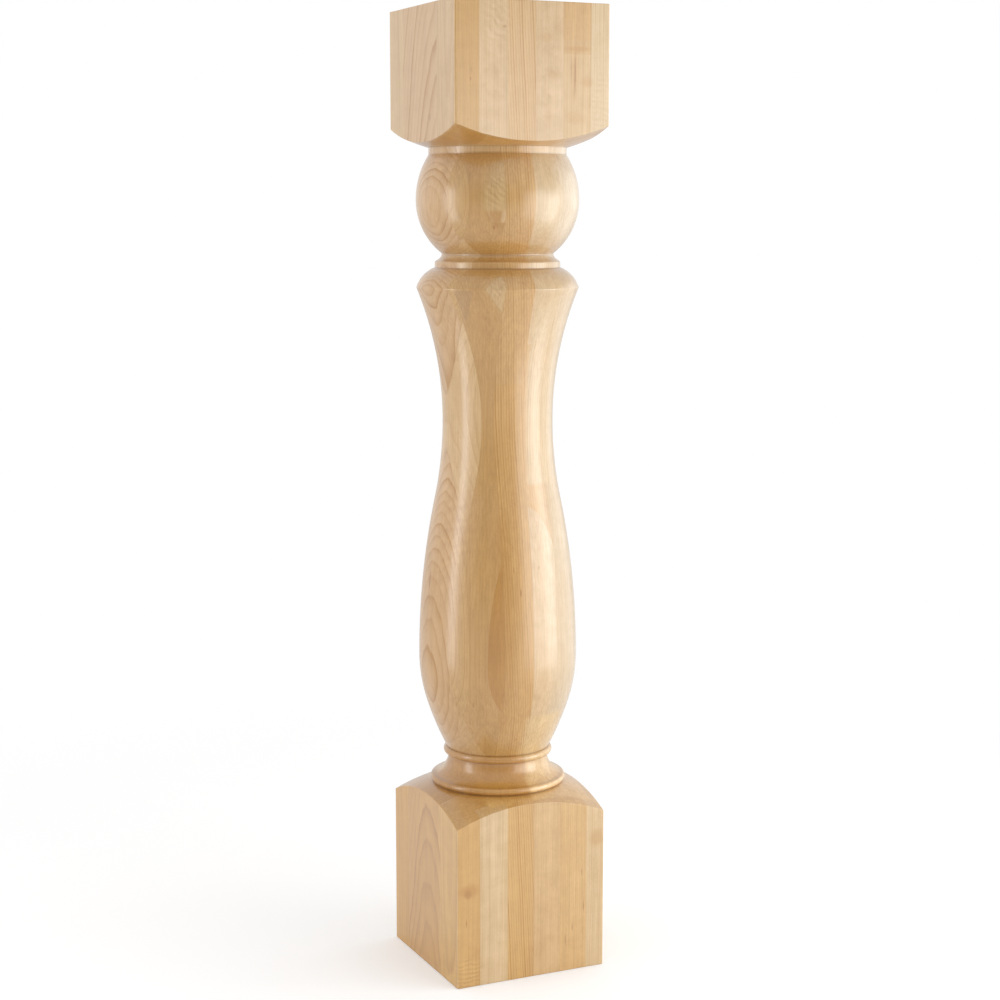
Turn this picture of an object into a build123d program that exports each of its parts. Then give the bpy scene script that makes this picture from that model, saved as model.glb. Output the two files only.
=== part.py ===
from build123d import *
import os
from math import sqrt

# Turned wooden post: one square blank, left square at both ends and turned between them.
# Millimetres. The origin is the middle of the bottom face and +Z runs up the post.

# The square blank
block_side = 152.4
post_height = 901.7
arris_radius = 0.9

# The square blocks, along their upright corners, and how far each domed shoulder
# carries on past the corner to the middle of a face
bottom_block = 152.4
bottom_crown = 16.3
top_block = 107.95
top_crown = 14.4

# Depths of cut, from the face of the blank down to the turned surface
base_ring_cut = 13.3
base_ring_undercut = 0.7
cove_throat_cut = 28.6
bead_crease_cut = 25.7
quirk_cut = 26.9
flank_cut = 8.1
belly_cut = 1.1
waist_cut = 24.3
vase_arris_cut = 0.15
ring_cut = 17.6
ball_fillet_cut = 23.95
ball_cut = 0.1
neck_cut = 12.05

# Heights of the members above the lower shoulder
base_relief = 1.0
base_ring_height = 6.0
cove_height = 19.2
throat_height = 1.6
bead_height = 6.9

# Heights of the members below the upper shoulder
neck_height = 6.5
ball_upper_height = 41.2
ball_lower_height = 49.1
ball_fillet_height = 1.75
ring_cove_height = 5.0
ring_easing = 0.9
ring_height = 6.15
ovolo_height = 18.6

# Bulge of the short curves, measured square to the straight line between their ends
base_ring_bulge = 1.8
bead_bulge = 2.1
ring_cove_bulge = 0.7
ovolo_bulge = 2.95

# The long vase: how far its flank and its belly stand above its foot, how far its waist hangs
# below its arris, and the share of the way from belly to waist where it turns from full to hollow
flank_height = 45.4
belly_height = 90.4
waist_drop = 123.5
bend_share = 0.67

half_side = block_side / 2
half_diagonal = half_side * sqrt(2)
turning_reach = half_diagonal + arris_radius


def radius_at(cut):
    """Radius of the turning where it is cut this deep below the face of the blank"""
    return half_side - cut


def shoulder_height(corner, crown, radius):
    """Height of a domed shoulder: a sphere about the axis, from the corner to crown at mid-face"""
    rise = abs(crown)
    centre_below_face = (rise + (half_diagonal**2 - half_side**2) / rise) / 2
    sphere = sqrt(centre_below_face**2 + half_side**2)
    above_centre = sqrt(sphere**2 - radius**2)
    side = 1 if crown > 0 else -1
    return corner + crown + side * (above_centre - centre_below_face)


def lower_shoulder(radius):
    return shoulder_height(bottom_block, bottom_crown, radius)


def upper_shoulder(radius):
    return shoulder_height(post_height - top_block, -top_crown, radius)


# Where the members meet, as points of radius and height, from the bottom up
ring_root = radius_at(base_ring_cut) - base_ring_undercut
groove = (ring_root, lower_shoulder(ring_root))
base_ring_foot = (radius_at(base_ring_cut), groove[1] + base_relief)
base_ring_lip = (radius_at(base_ring_cut), base_ring_foot[1] + base_ring_height)
cove_throat = (radius_at(cove_throat_cut), base_ring_lip[1] + cove_height)
throat_top = (cove_throat[0], cove_throat[1] + throat_height)
bead_crease = (radius_at(bead_crease_cut), throat_top[1])
quirk = (radius_at(quirk_cut), bead_crease[1] + bead_height)
flank = (radius_at(flank_cut), quirk[1] + flank_height)
belly = (radius_at(belly_cut), quirk[1] + belly_height)

neck_radius = radius_at(neck_cut)
neck_top = (neck_radius, upper_shoulder(neck_radius))
ball_top = (neck_radius, neck_top[1] - neck_height)
ball_equator = (radius_at(ball_cut), ball_top[1] - ball_upper_height)
ball_foot = (radius_at(ball_fillet_cut), ball_equator[1] - ball_lower_height)
fillet_foot = (ball_foot[0], ball_foot[1] - ball_fillet_height)
ring_radius = radius_at(ring_cut)
ring_edge = (ring_radius - ring_easing, fillet_foot[1] - ring_cove_height)
ring_top = (ring_radius, ring_edge[1] - ring_easing)
ring_foot = (ring_radius, ring_edge[1] - ring_height)
vase_arris = (radius_at(vase_arris_cut), ring_foot[1] - ovolo_height)
waist = (radius_at(waist_cut), vase_arris[1] - waist_drop)


def lower_block_outline():
    """The blank below the turning, and the domed shoulder that the tool leaves on it"""
    shoulder = ThreePointArc(
        (turning_reach, lower_shoulder(turning_reach)),
        (half_side, lower_shoulder(half_side)),
        groove,
    )
    return [Polyline((0, 0), (turning_reach, 0), shoulder @ 0), shoulder]


def base_members():
    """Undercut ring, cove with its narrow throat, and the bead at the foot of the vase"""
    ring = SagittaArc(base_ring_foot, base_ring_lip, -base_ring_bulge)
    cove = TangentArc(cove_throat, base_ring_lip, tangent=(0, -1))
    throat = Polyline(cove_throat, throat_top, bead_crease)
    bead = SagittaArc(bead_crease, quirk, -bead_bulge)
    return [Line(groove, base_ring_foot), ring, cove, throat, bead]


def vase():
    """The long body: full at the belly, hollow at the waist, flared to a sharp arris.

    Each of its five arcs runs into the next without a corner; the two between belly and waist
    meet on the straight line that joins them.
    """
    bend = (
        belly[0] + bend_share * (waist[0] - belly[0]),
        belly[1] + bend_share * (waist[1] - belly[1]),
    )
    below_belly = TangentArc(belly, flank, tangent=(0, -1))
    return [
        below_belly,
        TangentArc(flank, quirk, tangent=below_belly % 1),
        TangentArc(belly, bend, tangent=(0, 1)),
        TangentArc(waist, bend, tangent=(0, -1)),
        TangentArc(waist, vase_arris, tangent=(0, 1)),
    ]


def ring_members():
    """Quarter round above the arris, the plain ring on it and the small cove under the ball"""
    ovolo = SagittaArc(vase_arris, ring_foot, -ovolo_bulge)
    cove = SagittaArc(ring_edge, fillet_foot, ring_cove_bulge)
    return [ovolo, Polyline(ring_foot, ring_top, ring_edge), cove, Line(fillet_foot, ball_foot)]


def ball_and_neck():
    """The ball, slightly flatter above its widest line than below it, and the plain neck"""
    lower = TangentArc(ball_equator, ball_foot, tangent=(0, -1))
    upper = TangentArc(ball_equator, ball_top, tangent=(0, 1))
    return [lower, upper, Line(ball_top, neck_top)]


def upper_block_outline():
    """The domed shoulder under the top block, and the blank above it"""
    shoulder = ThreePointArc(
        neck_top,
        (half_side, upper_shoulder(half_side)),
        (turning_reach, upper_shoulder(turning_reach)),
    )
    return [shoulder, Polyline(shoulder @ 1, (turning_reach, post_height), (0, post_height), (0, 0))]


def turning():
    """Everything the lathe leaves: the outline swung once about the upright axis"""
    members = base_members() + vase() + ring_members() + ball_and_neck()
    outline = Curve() + lower_block_outline() + members + upper_block_outline()
    return revolve(Plane.XZ * make_face(outline), axis=Axis.Z)


def squared_blank():
    """The square blank, with its four upright arrises lightly rounded"""
    return extrude(RectangleRounded(block_side, block_side, arris_radius), amount=post_height)


def post():
    """The turning kept inside the blank, so that both ends stay square"""
    return squared_blank() & turning()


os.makedirs("parts", exist_ok=True)
export_step(post(), "parts/post.step")
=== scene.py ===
from math import atan, atan2, ceil, cos, dist, hypot, pi, radians, sin, sqrt, tan

import bpy
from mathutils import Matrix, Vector


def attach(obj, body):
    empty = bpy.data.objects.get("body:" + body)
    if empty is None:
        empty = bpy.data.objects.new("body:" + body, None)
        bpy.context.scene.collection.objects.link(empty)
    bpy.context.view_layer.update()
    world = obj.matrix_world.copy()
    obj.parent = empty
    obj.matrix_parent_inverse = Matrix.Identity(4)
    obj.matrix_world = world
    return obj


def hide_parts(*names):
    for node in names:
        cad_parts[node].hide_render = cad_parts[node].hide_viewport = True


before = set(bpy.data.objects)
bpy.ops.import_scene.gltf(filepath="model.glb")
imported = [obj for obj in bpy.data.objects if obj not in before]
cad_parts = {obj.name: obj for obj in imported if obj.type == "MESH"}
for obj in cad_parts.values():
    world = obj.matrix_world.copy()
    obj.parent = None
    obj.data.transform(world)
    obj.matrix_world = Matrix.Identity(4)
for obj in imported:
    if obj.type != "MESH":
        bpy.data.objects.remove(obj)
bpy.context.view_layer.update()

# Looks of the turned wooden post. Shapes are in millimetres here, with the sizes that its solid has,
# and become metres where the mesh is made.
MM = 0.001

# The square blank
block_side = 152.4
post_height = 901.7
arris_radius = 0.9
half_side = block_side / 2
half_diagonal = half_side * sqrt(2)

# The square blocks at their corners, and how far each domed shoulder carries on past them
bottom_block = 152.4
bottom_crown = 16.3
top_block = 107.95
top_crown = 14.4

# Depths of cut, from the face of the blank down to the turned surface
base_ring_cut = 13.3
base_ring_undercut = 0.7
cove_throat_cut = 28.6
bead_crease_cut = 25.7
quirk_cut = 26.9
flank_cut = 8.1
belly_cut = 1.1
waist_cut = 24.3
vase_arris_cut = 0.15
ring_cut = 17.6
ball_fillet_cut = 23.95
ball_cut = 0.1
neck_cut = 12.05

# Heights of the members above the lower shoulder
base_relief = 1.0
base_ring_height = 6.0
cove_height = 19.2
throat_height = 1.6
bead_height = 6.9

# Heights of the members below the upper shoulder
neck_height = 6.5
ball_upper_height = 41.2
ball_lower_height = 49.1
ball_fillet_height = 1.75
ring_cove_height = 5.0
ring_easing = 0.9
ring_height = 6.15
ovolo_height = 18.6

# How far the short curves stand out from the straight line between their ends, or hollow in
base_ring_bulge = 1.8
bead_bulge = 2.1
ring_cove_bulge = -0.7
ovolo_bulge = 2.95

# The long vase: its flank and belly above its foot, its waist below its arris, and the share of
# the way from belly to waist where it turns from full to hollow
flank_height = 45.4
belly_height = 90.4
waist_drop = 123.5
bend_share = 0.67

# How far the outer edges of the blocks and of the turned members are softened
easing = 0.3
turned_easing = 0.6

# How fine the mesh is: turned arcs by angle and by length, then the rows and columns of the blocks
arc_steps = 3
arc_step_angle = radians(8)
arc_step_length = 4
flat_columns = 46
outer_column = 0.7
arris_steps = 5
shoulder_steps = 14
wall_steps = 4

# A corner of the outline that turns outwards by more than the first angle is softened, and an edge
# of the mesh that is sharper than the second is shaded as an edge
eased_turn = radians(-12)
sharp_edge = radians(30)


def shoulder_height(corner, crown, radius):
    """Height of a domed shoulder: a sphere about the axis, from the corner to crown at mid-face"""
    rise = abs(crown)
    centre_below_face = (rise + (half_diagonal**2 - half_side**2) / rise) / 2
    sphere = sqrt(centre_below_face**2 + half_side**2)
    side = 1 if crown > 0 else -1
    return corner + crown + side * (sqrt(sphere**2 - radius**2) - centre_below_face)


def lower_shoulder(radius):
    return shoulder_height(bottom_block, bottom_crown, radius)


def upper_shoulder(radius):
    return shoulder_height(post_height - top_block, -top_crown, radius)


def cut(depth):
    """Radius of the turning where it is cut this deep below the face of the blank"""
    return half_side - depth


# Where the turned members meet, as (radius, height), from the bottom up
ring_root = cut(base_ring_cut) - base_ring_undercut
groove = (ring_root, lower_shoulder(ring_root))
base_ring_foot = (cut(base_ring_cut), groove[1] + base_relief)
base_ring_lip = (cut(base_ring_cut), base_ring_foot[1] + base_ring_height)
cove_throat = (cut(cove_throat_cut), base_ring_lip[1] + cove_height)
throat_top = (cove_throat[0], cove_throat[1] + throat_height)
bead_crease = (cut(bead_crease_cut), throat_top[1])
quirk = (cut(quirk_cut), bead_crease[1] + bead_height)
flank = (cut(flank_cut), quirk[1] + flank_height)
belly = (cut(belly_cut), quirk[1] + belly_height)

neck_top = (cut(neck_cut), upper_shoulder(cut(neck_cut)))
ball_top = (cut(neck_cut), neck_top[1] - neck_height)
ball_equator = (cut(ball_cut), ball_top[1] - ball_upper_height)
ball_foot = (cut(ball_fillet_cut), ball_equator[1] - ball_lower_height)
fillet_foot = (ball_foot[0], ball_foot[1] - ball_fillet_height)
ring_edge = (cut(ring_cut) - ring_easing, fillet_foot[1] - ring_cove_height)
ring_top = (cut(ring_cut), ring_edge[1] - ring_easing)
ring_foot = (cut(ring_cut), ring_edge[1] - ring_height)
vase_arris = (cut(vase_arris_cut), ring_foot[1] - ovolo_height)
waist = (cut(waist_cut), vase_arris[1] - waist_drop)
bend = tuple(b + bend_share * (w - b) for b, w in zip(belly, waist))


def arc(start, end, turn):
    """Points after start on the arc to end, which turns left by this many radians on its way"""
    chord = dist(start, end)
    heading = atan2(end[1] - start[1], end[0] - start[0]) - turn / 2
    radius = chord / (2 * sin(turn / 2))
    by_angle = ceil(abs(turn) / arc_step_angle)
    by_length = ceil(abs(radius * turn) / arc_step_length)
    steps = max(arc_steps, by_angle, by_length)
    centre = (start[0] - radius * sin(heading), start[1] + radius * cos(heading))
    spokes = [heading + turn * i / steps for i in range(1, steps)]
    return [(centre[0] + radius * sin(a), centre[1] - radius * cos(a)) for a in spokes] + [end]


def bulged(start, end, bulge):
    """The arc that stands this far out from its chord, hollow if it is negative"""
    return arc(start, end, 4 * atan(2 * bulge / dist(start, end)))


def upright_at_start(start, end):
    """The arc from start, where it runs straight up or down, to end"""
    side = 1 if end[1] > start[1] else -1
    lean = atan2((start[0] - end[0]) * side, abs(end[1] - start[1]))
    return arc(start, end, 2 * lean)


def upright_at_end(start, end):
    return upright_at_start(end, start)[-2::-1] + [end]


def joined_to(start, middle, end):
    """The arc on from middle to end that carries on the one which starts upright at start"""
    side = 1 if middle[1] > start[1] else -1
    turned = 2 * atan2((start[0] - middle[0]) * side, abs(middle[1] - start[1]))
    heading = side * pi / 2 + turned
    turn = atan2(end[1] - middle[1], end[0] - middle[0]) - heading
    return arc(middle, end, 2 * ((turn + pi) % (2 * pi) - pi))


def turned_outline():
    """The turned members from the groove at the lower shoulder to the neck, as (radius, height)"""
    below_flank = joined_to(belly, flank, quirk)
    below_belly = upright_at_start(belly, flank)
    return [
        groove,
        base_ring_foot,
        *bulged(base_ring_foot, base_ring_lip, base_ring_bulge),
        *upright_at_end(base_ring_lip, cove_throat),
        throat_top,
        bead_crease,
        *bulged(bead_crease, quirk, bead_bulge),
        *below_flank[-2::-1],
        flank,
        *below_belly[-2::-1],
        belly,
        *upright_at_start(belly, bend),
        *upright_at_end(bend, waist),
        *upright_at_start(waist, vase_arris),
        *bulged(vase_arris, ring_foot, ovolo_bulge),
        ring_top,
        ring_edge,
        *bulged(ring_edge, fillet_foot, ring_cove_bulge),
        ball_foot,
        *upright_at_end(ball_foot, ball_equator),
        *upright_at_start(ball_equator, ball_top),
        neck_top,
    ]


def eased(points):
    """The outline with its outer corners softened, and its hollow corners left crisp"""
    result = [points[0]]
    for before, corner, after in zip(points, points[1:], points[2:]):
        first = Vector(corner) - Vector(before)
        second = Vector(after) - Vector(corner)
        turn = first.angle_signed(second)
        if turn > eased_turn:
            result.append(corner)
            continue
        start = Vector(corner) - first.normalized() * min(turned_easing, first.length / 2)
        end = Vector(corner) + second.normalized() * min(turned_easing, second.length / 2)
        for share in (0, 0.25, 0.5, 0.75, 1):
            low = start.lerp(Vector(corner), share)
            high = Vector(corner).lerp(end, share)
            result.append(tuple(low.lerp(high, share)))
    return result + [points[-1]]


def square_outline():
    """Columns of the mesh, as points round the square blank with its arrises rounded"""
    flat_half = half_side - arris_radius
    outer = flat_half - outer_column
    widest = atan(flat_half / half_side)
    across = [half_side * tan(widest * (2 * i / flat_columns - 1)) for i in range(1, flat_columns)]
    side = [(half_side, y) for y in (-flat_half, -outer, *across, outer)]
    for i in range(arris_steps):
        swing = i * pi / (2 * arris_steps)
        side.append((flat_half + arris_radius * cos(swing), flat_half + arris_radius * sin(swing)))
    quarter = side[:-1]
    turns = [(1, 0), (0, 1), (-1, 0), (0, -1)]
    return [(x * c - y * s, x * s + y * c) for c, s in turns for x, y in quarter]


def shoulder_rows(height, reach, inner):
    """Points from the softened edge of a block, this far out, along its shoulder to the turning"""
    soft = 3 * easing
    radii = [reach - easing, reach - 2 * easing]
    for i in range(shoulder_steps):
        radii.append((reach - soft) + (inner - reach + soft) * i / shoulder_steps)
    return [(radius, height(radius)) for radius in radii]


def wall_heights(low, high):
    return [low + (high - low) * i / wall_steps for i in range(wall_steps + 1)]


def mesh_columns():
    """For each column of the mesh, its points from the rim of the bottom face to that of the top"""
    turned = eased(turned_outline())
    soft = 3 * easing
    columns = []
    for x, y in square_outline():
        reach = hypot(x, y)
        low_edge = lower_shoulder(reach)
        high_edge = upper_shoulder(reach)
        rim = [(reach - easing, 0), (reach - easing / 3, easing / 3), (reach, easing)]
        low_wall = [(reach, z) for z in wall_heights(soft, low_edge - soft)]
        low_wall += [(reach, low_edge - easing), (reach - easing / 6, low_edge - easing / 6)]
        high_wall = [(reach - easing / 6, high_edge + easing / 6), (reach, high_edge + easing)]
        high_wall += [(reach, z) for z in wall_heights(high_edge + soft, post_height - soft)]
        rows = rim + low_wall + shoulder_rows(lower_shoulder, reach, turned[0][0]) + turned
        rows += shoulder_rows(upper_shoulder, reach, turned[-1][0])[::-1] + high_wall
        rows += [(radius, post_height - z) for radius, z in rim[::-1]]
        columns.append([(x / reach * radius, y / reach * radius, z) for radius, z in rows])
    return columns


def make_post():
    """The whole post as one closed mesh: even quads, and a fan of triangles on each end face"""
    columns = mesh_columns()
    count, height = len(columns), len(columns[0])
    points = [p for column in columns for p in column]
    faces = []
    for c in range(count):
        here, there = c * height, (c + 1) % count * height
        faces += [(here + r, there + r, there + r + 1, here + r + 1) for r in range(height - 1)]
    ends = [(0, 0, 0), (0, 0, post_height)]
    foot, head = len(points), len(points) + 1
    for c in range(count):
        here, there = c * height, (c + 1) % count * height
        faces += [(foot, there, here), (head, here + height - 1, there + height - 1)]
    mesh = bpy.data.meshes.new("turned_post")
    mesh.from_pydata([Vector(p) * MM for p in points + ends], [], faces)
    mesh.validate()
    mesh.shade_smooth()
    mesh.set_sharp_from_angle(angle=sharp_edge)
    for end_face in mesh.polygons[-2 * count:]:
        end_face.use_smooth = False
    piece = bpy.data.objects.new("turned_post", mesh)
    bpy.context.scene.collection.objects.link(piece)
    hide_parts("post")
    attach(piece, "root")
    return piece


# The camera looks at a near corner and down a little. The photograph's upright lines are parallel,
# which takes a level camera with a large shift. This tilt does without one, and brings the corners
# of the blocks within 13 pixels of the photograph's. Angles in degrees, lengths in metres
camera_turn = 24.856
camera_tilt = -8.123
camera_distance = 1.86985
camera_aside = -0.00233
camera_height = 0.71273
focal_pixels = 1988.5
image_pixels = 1000


def make_camera():
    turn = radians(camera_turn)
    ahead = Vector((sin(turn), cos(turn), 0))
    right = Vector((cos(turn), -sin(turn), 0))
    data = bpy.data.cameras.new("photo_camera")
    data.lens = focal_pixels * data.sensor_width / image_pixels
    camera = bpy.data.objects.new("photo_camera", data)
    camera.location = Vector((0, 0, camera_height)) - ahead * camera_distance - right * camera_aside
    camera.rotation_euler = (pi / 2 + radians(camera_tilt), 0, -turn)
    bpy.context.scene.collection.objects.link(camera)
    bpy.context.scene.camera = camera


# The soft lights: how many degrees round from the camera's side each stands, its distance from the
# axis, its height, its width, how tall it is, and how bright its face is
softboxes = (
    ("left_softbox", -68, 1.35, 0.44, 0.34, 1.2, 3.1),
    ("right_softbox", 82, 1.35, 0.22, 0.5, 1.2, 1.65),
    ("right_panel", 66, 1.4, 0.22, 1.5, 1.5, 1.95),
    ("right_wall", 118, 1.4, 0.38, 1.3, 1.5, 0.7),
)


def softbox(name, bearing, distance, height, width, tall, radiance):
    """An upright soft light that faces the post"""
    turn = radians(camera_turn - bearing)
    data = bpy.data.lights.new(name, "AREA")
    data.shape = "RECTANGLE"
    data.size, data.size_y = width, tall
    data.energy = radiance * pi * width * tall
    light = bpy.data.objects.new(name, data)
    light.location = (-sin(turn) * distance, -cos(turn) * distance, height)
    aim = Vector((0, 0, height)) - light.location
    light.rotation_euler = aim.to_track_quat("-Z", "Y").to_euler()
    bpy.context.scene.collection.objects.link(light)


def make_lights():
    for settings in softboxes:
        softbox(*settings)


class Shader:
    """Adds nodes to one node tree and joins them. An input is a number, a colour or another output."""

    def __init__(self, tree):
        self.tree = tree
        tree.nodes.clear()

    def node(self, kind, *inputs, **settings):
        node = self.tree.nodes.new("ShaderNode" + kind)
        named = settings.pop("named", {})
        for key, value in settings.items():
            setattr(node, key, value)
        for key, value in [*enumerate(inputs), *named.items()]:
            if isinstance(value, bpy.types.NodeSocket):
                self.tree.links.new(value, node.inputs[key])
            elif value is not None:
                node.inputs[key].default_value = value
        return node

    def math(self, operation, *inputs, clamp=False):
        return self.node("Math", *inputs, operation=operation, use_clamp=clamp).outputs[0]

    def vector(self, operation, *inputs):
        node = self.node("VectorMath", *inputs, operation=operation)
        return node.outputs["Value" if operation in ("LENGTH", "DOT_PRODUCT") else "Vector"]

    def toned(self, share, colour, tone):
        """The colour with this share of a tone mixed in"""
        named = {0: share, 6: colour, 7: (*tone, 1)}
        return self.node("Mix", data_type="RGBA", named=named).outputs[2]

    def noise(self, place, detail, roughness=0.5):
        named = {"Vector": place, "Scale": 1.0, "Detail": detail, "Roughness": roughness}
        return self.node("TexNoise", named=named).outputs["Fac"]

    def smooth(self, value, start, end, low=0.0, high=1.0):
        """Low where value is below start, high where it is past end, and smoothly between"""
        inputs = (value, start, end, low, high)
        return self.node("MapRange", *inputs, interpolation_type="SMOOTHSTEP").outputs[0]


# The studio's brightness: the wall behind the camera, how much brighter the other walls are, and the
# ceiling. A direction's component along the camera's line says where the first wall gives way to the
# others, and its rise says where the walls give way to the ceiling
camera_wall = 0.26
wall_lift = 0.66
ceiling = 0.84
wall_limits = (-0.85, -0.5)
ceiling_limits = (0.05, 0.6)


def make_world():
    """A pale studio all round, dark only about the camera, and a plain white background"""
    world = bpy.data.worlds.new("studio")
    bpy.context.scene.world = world
    world.use_nodes = True
    s = Shader(world.node_tree)
    path = s.node("LightPath").outputs
    turn = radians(camera_turn)
    ahead = (sin(turn), cos(turn), 0)
    direction = s.node("TexCoord").outputs["Generated"]
    toward = s.vector("DOT_PRODUCT", direction, ahead)
    rise = s.node("SeparateXYZ", direction).outputs[2]
    above = s.smooth(rise, *ceiling_limits)
    pale = s.smooth(toward, *wall_limits)
    walls = s.math("MULTIPLY_ADD", pale, wall_lift, camera_wall)
    level = s.math("MULTIPLY_ADD", above, s.math("SUBTRACT", ceiling, walls), walls)
    studio = s.node("Background", (1, 1, 1, 1), level)
    white = s.node("Background", (1, 1, 1, 1), 1.0)
    mixed = s.node("MixShader", path["Is Camera Ray"], studio.outputs[0], white.outputs[0])
    s.node("OutputWorld", mixed.outputs[0])


# The floor, in metres: half its side, how far it lies below the post's foot so that the two don't
# share a plane, and where it runs out into the background. Then its paint, and how much lighter the
# camera sees it
floor_half = 6
floor_gap = 0.0002
floor_fade = (0.5, 1.1)
floor_paint = 0.85
floor_lift = 0.2


def make_floor():
    """A pale floor that keeps the post's shadow and runs out into the white background"""
    mesh = bpy.data.meshes.new("floor")
    corners = [(x * floor_half, y * floor_half, 0) for x, y in ((-1, -1), (1, -1), (1, 1), (-1, 1))]
    mesh.from_pydata(corners, [], [(0, 1, 2, 3)])
    floor = bpy.data.objects.new("floor", mesh)
    floor.location.z = -floor_gap
    bpy.context.scene.collection.objects.link(floor)
    material = bpy.data.materials.new("pale_floor")
    material.use_nodes = True
    s = Shader(material.node_tree)
    seen = s.node("LightPath").outputs["Is Camera Ray"]
    paint = s.node("BsdfDiffuse", (floor_paint, floor_paint, floor_paint, 1))
    lift = s.node("Emission", (1, 1, 1, 1), s.math("MULTIPLY", seen, floor_lift))
    near = s.node("AddShader", paint.outputs[0], lift.outputs[0])
    far = s.node("Emission", (1, 1, 1, 1), 1.0)
    away = s.vector("LENGTH", s.node("TexCoord").outputs["Object"])
    fade = s.math("MULTIPLY", s.smooth(away, *floor_fade), seen)
    mixed = s.node("MixShader", fade, near.outputs[0], far.outputs[0])
    s.node("OutputMaterial", mixed.outputs[0])
    mesh.materials.append(material)


# The blank is six layers glued face to face, square to X, each glued up edge to edge from boards.
# Where one layer ends and the next begins:
layer_ends = (-53.0, -24.6, 2.6, 30.0, 57.8)

# Tones of the boards
dark = (0.545, 0.305, 0.098)
amber = (0.575, 0.335, 0.112)
golden = (0.600, 0.355, 0.130)
honey = (0.605, 0.385, 0.165)
cream = (0.630, 0.435, 0.230)
rosy = (0.640, 0.395, 0.185)
light = (0.670, 0.435, 0.200)

# Each layer's boards from -Y to +Y. For each board: the place of the edge joint where it ends and its
# tone, then its growth rings, which are cylinders about the middle of its tree. Where that middle
# lies in X and Y at half height, how far it drifts from the foot of the post to its top, the width of
# a ring, how strongly its edge is drawn, and how strongly the board is clouded
layers = (
    (
        (-36, amber, (-150, -60), (12, 0), 1.5, 0.9, 0.7),
        (43, rosy, (-210, -30), (-75, -59), 3.0, 1.8, 0.5),
        (99, honey, (-160, 90), (-20, 9), 2.4, 0.6, 0.4),
    ),
    (
        (-64, cream, (-190, -40), (6, 0), 2.4, 0.5, 0.9),
        (-39, dark, (-130, -10), (16, 12), 2.9, 0.6, 0.4),
        (24, light, (60, 0), (-30, 0), 2.5, 0.6, 0.5),
        (99, amber, (80, 70), (20, -8), 2.2, 0.7, 0.4),
    ),
    (
        (-8, golden, (-120, -35), (-36, 18), 2.4, 2.0, 0.5),
        (52, cream, (-90, 30), (14, -10), 2.7, 0.5, 0.5),
        (99, honey, (-60, 90), (-16, 24), 2.3, 0.6, 0.4),
    ),
    (
        (-60, cream, (130, -50), (10, 8), 2.2, 0.4, 1.0),
        (14, golden, (110, -20), (18, 14), 2.6, 0.8, 0.5),
        (99, cream, (90, 50), (-22, 30), 2.4, 0.5, 0.6),
    ),
    (
        (-22, honey, (170, -30), (8, 10), 2.1, 0.7, 0.7),
        (38, cream, (150, 10), (-14, 0), 2.8, 0.5, 0.4),
        (99, amber, (-60, 80), (12, 20), 2.4, 0.7, 0.5),
    ),
    (
        (-18, cream, (190, -60), (10, -12), 2.2, 0.6, 0.5),
        (47, rosy, (136, 14), (24, 30), 1.2, 0.9, 0.4),
        (99, honey, (160, 80), (16, 10), 2.5, 0.6, 0.5),
    ),
)

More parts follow.
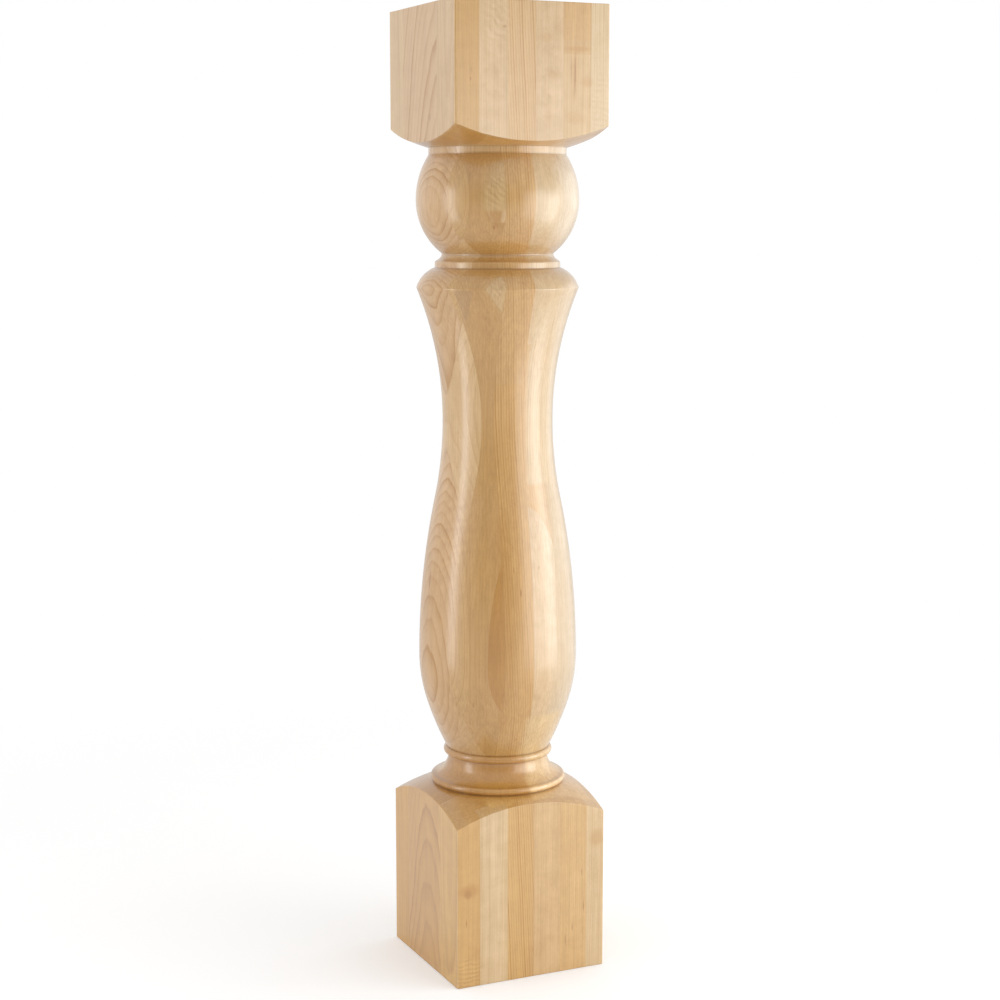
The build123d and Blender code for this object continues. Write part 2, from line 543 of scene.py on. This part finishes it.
# Stretches of a board with a tone of their own: lowest and highest corner, how softly the tone
# fades out beyond them, the tone and its share. A later one lies over the ones before it. Some are
# painted highlights instead, each marked where it stands, and the last four are painted highlights
# along the arrises
tones_and_highlights = (
    ((-53, -80, 190), (-24.6, -64, 470), 0.3, (0.480, 0.230, 0.045), 1.0),
    ((-53, -80, 670), (-24.6, -64, 707), 0.3, (0.490, 0.255, 0.065), 0.95),
    ((-53, -80, 704), (-29.5, -66, 716), 5, (0.490, 0.255, 0.065), 0.95),
    ((30, -80, 869), (57.8, -70, 905), 0.5, (0.610, 0.370, 0.145), 0.9),
    ((-53, -80, 720), (-24.6, -64, 758), 5, (0.550, 0.345, 0.130), 0.8),
    ((-53, -80, 620), (-24.6, -64, 665), 2.5, (0.570, 0.360, 0.140), 0.55),
    ((-24.6, -80, 0), (-6, -70, 170), 9, (0.650, 0.390, 0.122), 0.75),
    ((-80, -33, 0), (-75.5, 43, 170), 0.5, (0.600, 0.310, 0.070), 0.9),
    ((-80, 43, 0), (-75.5, 80, 170), 0.5, (0.625, 0.315, 0.045), 0.9),
    ((-80, -74, 0), (-75.5, -33, 170), 0.5, (0.680, 0.385, 0.095), 0.85),
    ((-80, -74, 780), (-75.5, -33, 905), 3, (0.660, 0.430, 0.210), 0.8),
    ((-62, -62, 618), (-50.5, -41.5, 646), 0.3, (0.440, 0.255, 0.100), 0.75),
    # Painted highlight: the right side of the turned members made paler, where the lights on the right
    # shine on the lacquer
    ((36, -60, 210), (80, 60, 775), 26, (0.565, 0.445, 0.285), 0.85),
    ((8, -80, 470), (30, -30, 775), 6, (0.600, 0.440, 0.240), 0.85),
    ((-24.6, -80, 205), (2.6, -40, 560), 0.3, (0.605, 0.345, 0.110), 0.7),
    ((-80, -36, 205), (-45, 60, 450), 20, (0.600, 0.350, 0.140), 0.6),
    ((-75, -34, 152), (-53, 60, 182), 0.5, (0.440, 0.210, 0.030), 0.9),
    ((-36, -68, 160), (24, -30, 182), 7.5, (0.880, 0.590, 0.240), 0.85),
    ((-73, -73, 777), (-45, 73, 796), 2, (0.470, 0.220, 0.035), 0.85),
    ((-42, -73, 777), (73, 73, 796), 2.5, (0.600, 0.320, 0.085), 0.85),
    # Painted highlight: the neck made lighter all round
    ((-73, -73, 770.5), (73, 73, 776), 0.4, (0.680, 0.450, 0.215), 0.7),
    ((2.6, -80, 0), (30, -70, 170), 0.5, (0.635, 0.405, 0.180), 0.9),
    ((30, -80, 780), (57.8, -70, 856), 0.5, (0.648, 0.452, 0.226), 0.9),
    ((57.8, -80, 780), (80, -70, 905), 0.5, (0.690, 0.522, 0.305), 0.9),
    ((-80, 43, 780), (-75.5, 80, 905), 0.5, (0.650, 0.430, 0.205), 0.9),
    ((-24.6, -80, 190), (-20, -60, 450), 6, (0.520, 0.265, 0.065), 0.6),
    # Painted highlight: the right side of the ball made paler and whiter
    ((34, -60, 700), (80, 60, 770), 20, (0.665, 0.555, 0.395), 0.8),
    ((2.6, -80, 208), (40, -30, 245), 8, (0.700, 0.500, 0.240), 0.85),
    ((12, -80, 176), (70, 0, 205), 6, (0.700, 0.470, 0.200), 0.85),
    ((-24.6, -80, 780), (2.6, -70, 905), 0.5, (0.640, 0.432, 0.212), 0.8),
    ((-70, -70, 176), (0, 10, 204), 8, (0.470, 0.205, 0.020), 0.85),
    ((-80, -80, 0), (-53, -75.7, 170), 0.4, (0.615, 0.357, 0.110), 0.9),
    ((-80, -80, 780), (-53, -75.7, 905), 0.4, (0.560, 0.318, 0.090), 0.8),
    ((-53, -80, 0), (-24.6, -70, 170), 0.4, (0.665, 0.475, 0.255), 0.8),
    ((30, -80, 0), (57.8, -70, 170), 0.4, (0.655, 0.408, 0.160), 0.8),
    ((57.8, -80, 0), (80, -70, 170), 0.4, (0.670, 0.478, 0.252), 0.8),
    ((10, -62, 158), (65, 50, 182), 8, (0.860, 0.600, 0.290), 0.8),
    # Painted highlights: the four arrises made paler, which offsets the shade that falls on them
    ((-80, -80, 0), (-75.7, -75.7, 905), 0.3, (0.760, 0.520, 0.260), 0.9),
    ((75.7, -80, 0), (80, -75.7, 905), 0.3, (0.760, 0.520, 0.260), 0.9),
    ((-80, 75.7, 0), (-75.7, 80, 905), 0.3, (0.760, 0.520, 0.260), 0.9),
    ((75.7, 75.7, 0), (80, 80, 905), 0.3, (0.760, 0.520, 0.260), 0.9),
)

# Painted shade: dark lines in the turned creases, where shadow falls. Height, half width, depth of
# colour
shaded_creases = (
    (groove[1] + 0.4, 0.8, 0.55),
    (base_ring_lip[1] + 0.3, 0.6, 0.25),
    (throat_top[1] - 0.6, 0.9, 0.4),
    (quirk[1] + 0.4, 0.8, 0.45),
    (ring_foot[1] - 0.4, 0.8, 0.45),
    (fillet_foot[1] + 0.9, 1.2, 0.4),
    (ball_top[1] + 0.3, 0.7, 0.3),
    (neck_top[1] - 0.2, 0.7, 0.25),
)

# Curly grain, whose ripples catch the light: centre, half sizes, ripples per millimetre along
# X, Y and Z, and depth
curls = (
    ((-35, -76, 882), (14, 9, 24), (0.09, 0, 0.13), 0.10),
    ((-38, -76, 835), (14, 9, 34), (0.05, 0, 0.06), 0.05),
    ((-33, -68, 735), (12, 12, 17), (0.15, 0, 0.17), 0.11),
    ((-31, -70, 650), (9, 10, 11), (0.17, 0, 0.19), 0.12),
    ((-66, -78, 12), (16, 8, 18), (0.0, 0.0, 0.24), 0.12),
    ((17, -76, 838), (15, 9, 52), (0.01, 0, 0.055), 0.06),
    ((66, -76, 815), (12, 9, 28), (0.02, 0, 0.20), 0.06),
    ((-66, -30, 425), (26, 26, 60), (0.0, 0.03, 0.09), 0.06),
    ((60, -20, 330), (26, 40, 60), (0.0, 0.02, 0.08), 0.05),
    ((20, 70, 300), (40, 20, 70), (0.03, 0.0, 0.10), 0.06),
)

# Marks on the wood: place, half size across and along the grain, depth of colour. The dark ones are
# flecks and pith streaks, the soft ones are stains
dark_marks = (
    ((-61.2, -76, 832), 0.8, 1.8, 0.7),
    ((-60.2, -76, 840), 0.6, 3, 0.3),
    ((41.4, -76, 838), 0.6, 20, 1.0),
    ((38.0, -76, 843), 0.5, 14, 0.5),
    ((-28, -76, 878), 2.5, 1.6, 0.4),
    ((-67, -76, 62), 0.6, 4, 0.7),
    ((-65.5, -76, 90), 4, 5, 0.4),
    ((53, -76, 95), 0.6, 4, 0.6),
    ((55, -76, 61), 0.6, 5, 0.6),
    ((43, -76, 42), 0.7, 4, 0.5),
    ((35.8, -76, 31), 0.6, 6, 0.6),
    ((-32.4, -63, 702), 1.1, 5, 0.75),
    ((-9, -71.2, 369), 0.7, 5, 0.8),
    ((-71, -2.5, 375), 1.8, 12, 0.6),
    ((-48.4, -51.2, 262), 1.0, 4, 0.5),
    ((-15, -67.8, 390), 0.6, 5, 0.45),
    ((10.5, -68.4, 391), 0.8, 2, 0.45),
    ((-76, 66, 96), 0.8, 14, 0.45),
    ((-76, -20, 801), 2.2, 4, 0.35),
)
soft_marks = (
    ((-64, -76, 93), 11, 7, 1.0),
    ((69, -76, 127), 8, 9, 0.6),
    ((44, -76, 861), 13, 2.5, 0.7),
    ((41, -76, 838), 3, 26, 0.5),
    ((54, -76, 832), 6, 5, 0.5),
    ((42, -76, 800), 10, 7, 0.35),
    ((12, -76, 870), 9, 5, 0.3),
    ((20, -76, 838), 8, 5, 0.3),
    ((-76, -6, 60), 14, 40, 0.25),
    ((-72, -10, 375), 6, 22, 0.45),
    ((76, 30, 90), 9, 14, 0.4),
    ((20, 76, 60), 8, 18, 0.4),
    ((60, 76, 850), 10, 9, 0.35),
)

# The colours that the marks, lines and shading of the wood bring in
ring_tone = (0.46, 0.215, 0.035)
warm_tone = (0.58, 0.320, 0.100)
stain_tone = (0.50, 0.245, 0.055)
fleck_tone = (0.33, 0.13, 0.022)
glue_tone = (0.36, 0.17, 0.045)
end_grain_tone = (0.43, 0.205, 0.035)
# The next is the colour of the painted shade in the turned creases
crease_shade_tone = (0.27, 0.125, 0.032)

# The most that each of these takes of the colour
ring_share = 0.66
warm_share = 0.3
stain_share = 0.68
glue_share = 0.22
end_grain_share = 0.5

# How much a change of brightness changes red, green and blue, so that darker wood is also warmer
darkening = (0.8, 1.05, 1.5)

# Half the width of a glue line
glue_half = 0.18

# Where marks, curls and creases are full and where they have faded out, in half sizes of each
mark_fade = (0.4, 1.3)
curl_fade = (0.5, 1.25)
crease_shade_fade = (0.3, 1.6)

# The rings' edge: grey level at places from the inside of a ring to its outside
ring_profile = ((0.0, 0.0), (0.4, 0.08), (0.72, 0.45), (0.9, 1.0), (1.0, 0.0))

# How far the rings wander from true circles, in widths of a ring, first in the large and then in
# the small, and how wide and long these two patterns are
ring_wander = 3.0
ring_waver = 0.7
wander_size = (70, 230)
waver_size = (12, 60)

# The grain's patterns: how wide and long their features are, and how much four of them change the
# brightness. End grain shows the first two more strongly, by this factor
streak_size = (1.6, 70)
band_size = (8, 160)
cloud_size = (17, 12)
twist_size = (6, 9)
pore_size = (0.35, 4)
drift_size = (34, 70)
streak_depth = 0.46
band_depth = 0.24
cloud_depth = 0.34
pore_depth = 0.17
end_grain_boost = 1.3


class Boards:
    """Which board of the glued blank each point lies in"""

    def __init__(self, s, x, y):
        self.s = s
        self.past_layers = [s.math("GREATER_THAN", x, end) for end in layer_ends]
        self.past_edges = [
            [s.math("GREATER_THAN", y, board[0]) for board in boards[:-1]] for boards in layers
        ]

    def between(self, share, first, second):
        named = {0: share, 4: first, 5: second}
        return self.s.node("Mix", data_type="VECTOR", named=named).outputs[1]

    def values(self, pick):
        """The three numbers that pick gives for the board that the point lies in"""
        layer_values = []
        for boards, past in zip(layers, self.past_edges):
            value = pick(boards[0])
            for share, board in zip(past, boards[1:]):
                value = self.between(share, value, pick(board))
            layer_values.append(value)
        value = layer_values[0]
        for share, next_value in zip(self.past_layers, layer_values[1:]):
            value = self.between(share, value, next_value)
        return value


def ramp(s, share, *stops):
    """Grey levels at places from 0 to 1"""
    node = s.node("ValToRGB", share)
    elements = node.color_ramp.elements
    while len(elements) < len(stops):
        elements.new(0.5)
    for element, (place, level) in zip(elements, stops):
        element.position = place
        element.color = (level, level, level, 1)
    return node.outputs["Color"]


def split(s, vector):
    return s.node("SeparateXYZ", vector).outputs[:]


def scaled(s, vector, size):
    node = s.node("VectorMath", vector, operation="SCALE", named={"Scale": size})
    return node.outputs["Vector"]


def stretched(s, place, across, along):
    """Coordinates for a pattern with features this many millimetres wide and long"""
    return s.vector("MULTIPLY", place, (1 / across, 1 / across, 1 / along))


def faded(s, value, inner, outer, depth):
    """The depth where value is below inner, fading to nothing where it reaches outer"""
    return s.smooth(value, outer, inner, 0.0, depth)


def swung(s, noise, amount):
    """Noise as a change of brightness, up to about half this amount either way"""
    return s.math("MULTIPLY", s.math("SUBTRACT", noise, 0.5), amount)


def ring_lines(s, place, middle, drift, width):
    """Darker edges of the growth rings, as cylinders about the leaning middle of each board's tree"""
    rise = s.math("DIVIDE", s.math("SUBTRACT", split(s, place)[2], post_height / 2), post_height)
    across = s.vector("SUBTRACT", place, s.vector("ADD", middle, scaled(s, drift, rise)))
    far = s.vector("LENGTH", s.vector("MULTIPLY", across, (1, 1, 0)))
    wander = s.noise(stretched(s, place, *wander_size), 1.0)
    wander = s.math("MULTIPLY", wander, ring_wander)
    waver = s.noise(stretched(s, place, *waver_size), 2.0)
    waver = s.math("MULTIPLY", waver, ring_waver)
    count = s.math("ADD", s.math("DIVIDE", far, width), s.math("ADD", wander, waver))
    share = s.math("FRACT", count)
    named = {"W": s.math("FLOOR", count)}
    chance = s.node("TexWhiteNoise", named=named, noise_dimensions="1D").outputs["Value"]
    weight = s.math("MULTIPLY_ADD", s.math("POWER", chance, 1.3), 0.9, 0.3)
    return s.math("MULTIPLY", ramp(s, share, *ring_profile), weight)


def marked(s, place, marks):
    """How strongly one of these marks colours the point, from 0 to 1"""
    total = 0.0
    for centre, across, along, depth in marks:
        away = s.vector("LENGTH", stretched(s, s.vector("SUBTRACT", place, centre), across, along))
        total = s.math("MAXIMUM", faded(s, away, *mark_fade, depth), total)
    return total


def tinted(s, place, colour):
    """The colour with the tones and painted highlights of the stretches that the point lies in"""
    for low, high, softness, tone, share in tones_and_highlights:
        middle = tuple((a + b) / 2 for a, b in zip(low, high))
        half = tuple((b - a) / 2 for a, b in zip(low, high))
        beyond = s.vector("SUBTRACT", s.vector("ABSOLUTE", s.vector("SUBTRACT", place, middle)), half)
        outside = s.vector("LENGTH", s.vector("MAXIMUM", beyond, (0, 0, 0)))
        colour = s.toned(faded(s, outside, 0.0, softness, share), colour, tone)
    return colour


def rippled(s, place, wobble, patches):
    """Change of brightness from curly grain, whose waves wobble and come and go in patches"""
    total = 0.0
    for centre, half, pace, depth in curls:
        away = s.vector("DIVIDE", s.vector("SUBTRACT", place, centre), half)
        near = faded(s, s.vector("LENGTH", away), *curl_fade, depth)
        mask = s.math("MULTIPLY", near, patches)
        phase = s.vector("DOT_PRODUCT", place, tuple(2 * pi * p for p in pace))
        wave = s.math("SINE", s.math("ADD", phase, wobble))
        total = s.math("MULTIPLY_ADD", wave, mask, total)
    return total


def painted_crease_shade(s, z):
    """How strongly the painted shade of a turned crease darkens the height z"""
    total = 0.0
    inner, outer = crease_shade_fade
    for height, half, depth in shaded_creases:
        away = s.math("ABSOLUTE", s.math("SUBTRACT", z, height))
        total = s.math("MAXIMUM", faded(s, away, inner * half, outer * half, depth), total)
    return total


def glued(s, x):
    """1 in the thin dark line where two layers meet"""
    total = 0.0
    for layer_end in layer_ends:
        total = s.math("MAXIMUM", s.math("COMPARE", x, layer_end, glue_half), total)
    return total


def grain(s, place, own_place, upright, cloud):
    """Streaks and pores of the grain, and how much lighter or darker all of it makes the wood.

    The pattern is read at own_place, which is shifted for each board so that none repeats another.
    """
    streaks = s.noise(stretched(s, own_place, *streak_size), 3.0, 0.6)
    bands = s.noise(stretched(s, own_place, *band_size), 2.0)
    clouds = s.noise(stretched(s, own_place, *cloud_size), 3.0)
    twist = s.noise(stretched(s, own_place, *twist_size), 1.0)
    pores = s.noise(stretched(s, own_place, *pore_size), 1.0)
    pored = s.node("MapRange", pores, 0.58, 0.74, 0.0, pore_depth).outputs[0]

    brightness = s.math("ADD", swung(s, streaks, streak_depth), swung(s, bands, band_depth))
    boost = s.math("MULTIPLY_ADD", upright, end_grain_boost, 1.0)
    brightness = s.math("MULTIPLY", brightness, boost)
    clouded = s.math("MULTIPLY", swung(s, clouds, cloud_depth), cloud)
    brightness = s.math("ADD", brightness, clouded)

    wobble = s.math("ADD", s.math("MULTIPLY", clouds, 12.0), s.math("MULTIPLY", twist, 7.0))
    patches = s.node("MapRange", twist, 0.35, 0.6, 0.2, 1.0).outputs[0]
    brightness = s.math("ADD", brightness, rippled(s, place, wobble, patches))
    return streaks, pored, s.math("SUBTRACT", brightness, pored)


def make_wood():
    """Glued maple under satin lacquer, as one solid pattern that every cut surface shows"""
    material = bpy.data.materials.new("maple")
    material.use_nodes = True
    s = Shader(material.node_tree)
    place = scaled(s, s.node("TexCoord").outputs["Object"], 1 / MM)
    upright = s.math("ABSOLUTE", split(s, s.node("NewGeometry").outputs["Normal"])[2])
    x, y, z = split(s, place)
    boards = Boards(s, x, y)
    middle = boards.values(lambda board: (*board[2], 0))
    drift = boards.values(lambda board: (*board[3], 0))
    width, strength, cloud = split(s, boards.values(lambda board: board[4:7]))
    colour = tinted(s, place, boards.values(lambda board: board[1]))

    lines = s.math("MULTIPLY", ring_lines(s, place, middle, drift, width), strength)
    colour = s.toned(s.math("MULTIPLY", lines, ring_share, clamp=True), colour, ring_tone)

    own_place = s.vector("ADD", place, middle)
    streaks, pored, brightness = grain(s, place, own_place, upright, cloud)
    grey = s.node("CombineXYZ", brightness, brightness, brightness).outputs[0]
    colour = s.vector("MULTIPLY", colour, s.vector("MULTIPLY_ADD", grey, darkening, (1, 1, 1)))
    drifts = s.noise(stretched(s, own_place, *drift_size), 1.0)
    warmth = s.math("MULTIPLY_ADD", drifts, 0.9, -0.2, clamp=True)
    colour = s.toned(s.math("MULTIPLY", warmth, warm_share), colour, warm_tone)

    stained = s.math("MULTIPLY", marked(s, place, soft_marks), stain_share)
    colour = s.toned(stained, colour, stain_tone)
    colour = s.toned(marked(s, place, dark_marks), colour, fleck_tone)
    colour = s.toned(s.math("MULTIPLY", glued(s, x), glue_share), colour, glue_tone)
    cut_across = s.math("MULTIPLY", s.math("POWER", upright, 1.6), end_grain_share)
    colour = s.toned(cut_across, colour, end_grain_tone)
    # Painted shade in the turned creases
    colour = s.toned(painted_crease_shade(s, z), colour, crease_shade_tone)

    height = s.math("ADD", s.math("MULTIPLY", streaks, 0.5), s.math("MULTIPLY", pored, -2.0))
    bump = s.node("Bump", named={"Strength": 0.25, "Distance": 0.00008, "Height": height})
    wood = s.node("BsdfPrincipled", named={
        "Base Color": colour,
        "Roughness": s.math("MULTIPLY_ADD", streaks, 0.14, 0.38),
        "Normal": bump.outputs[0],
        "Coat Weight": 1.0,
        "Coat Roughness": 0.22,
        "Coat IOR": 1.65,
    })
    s.node("OutputMaterial", wood.outputs[0])
    return material


post = make_post()
post.data.materials.append(make_wood())
make_camera()
make_lights()
make_world()
make_floor()
bpy.context.scene.view_settings.view_transform = "Standard"
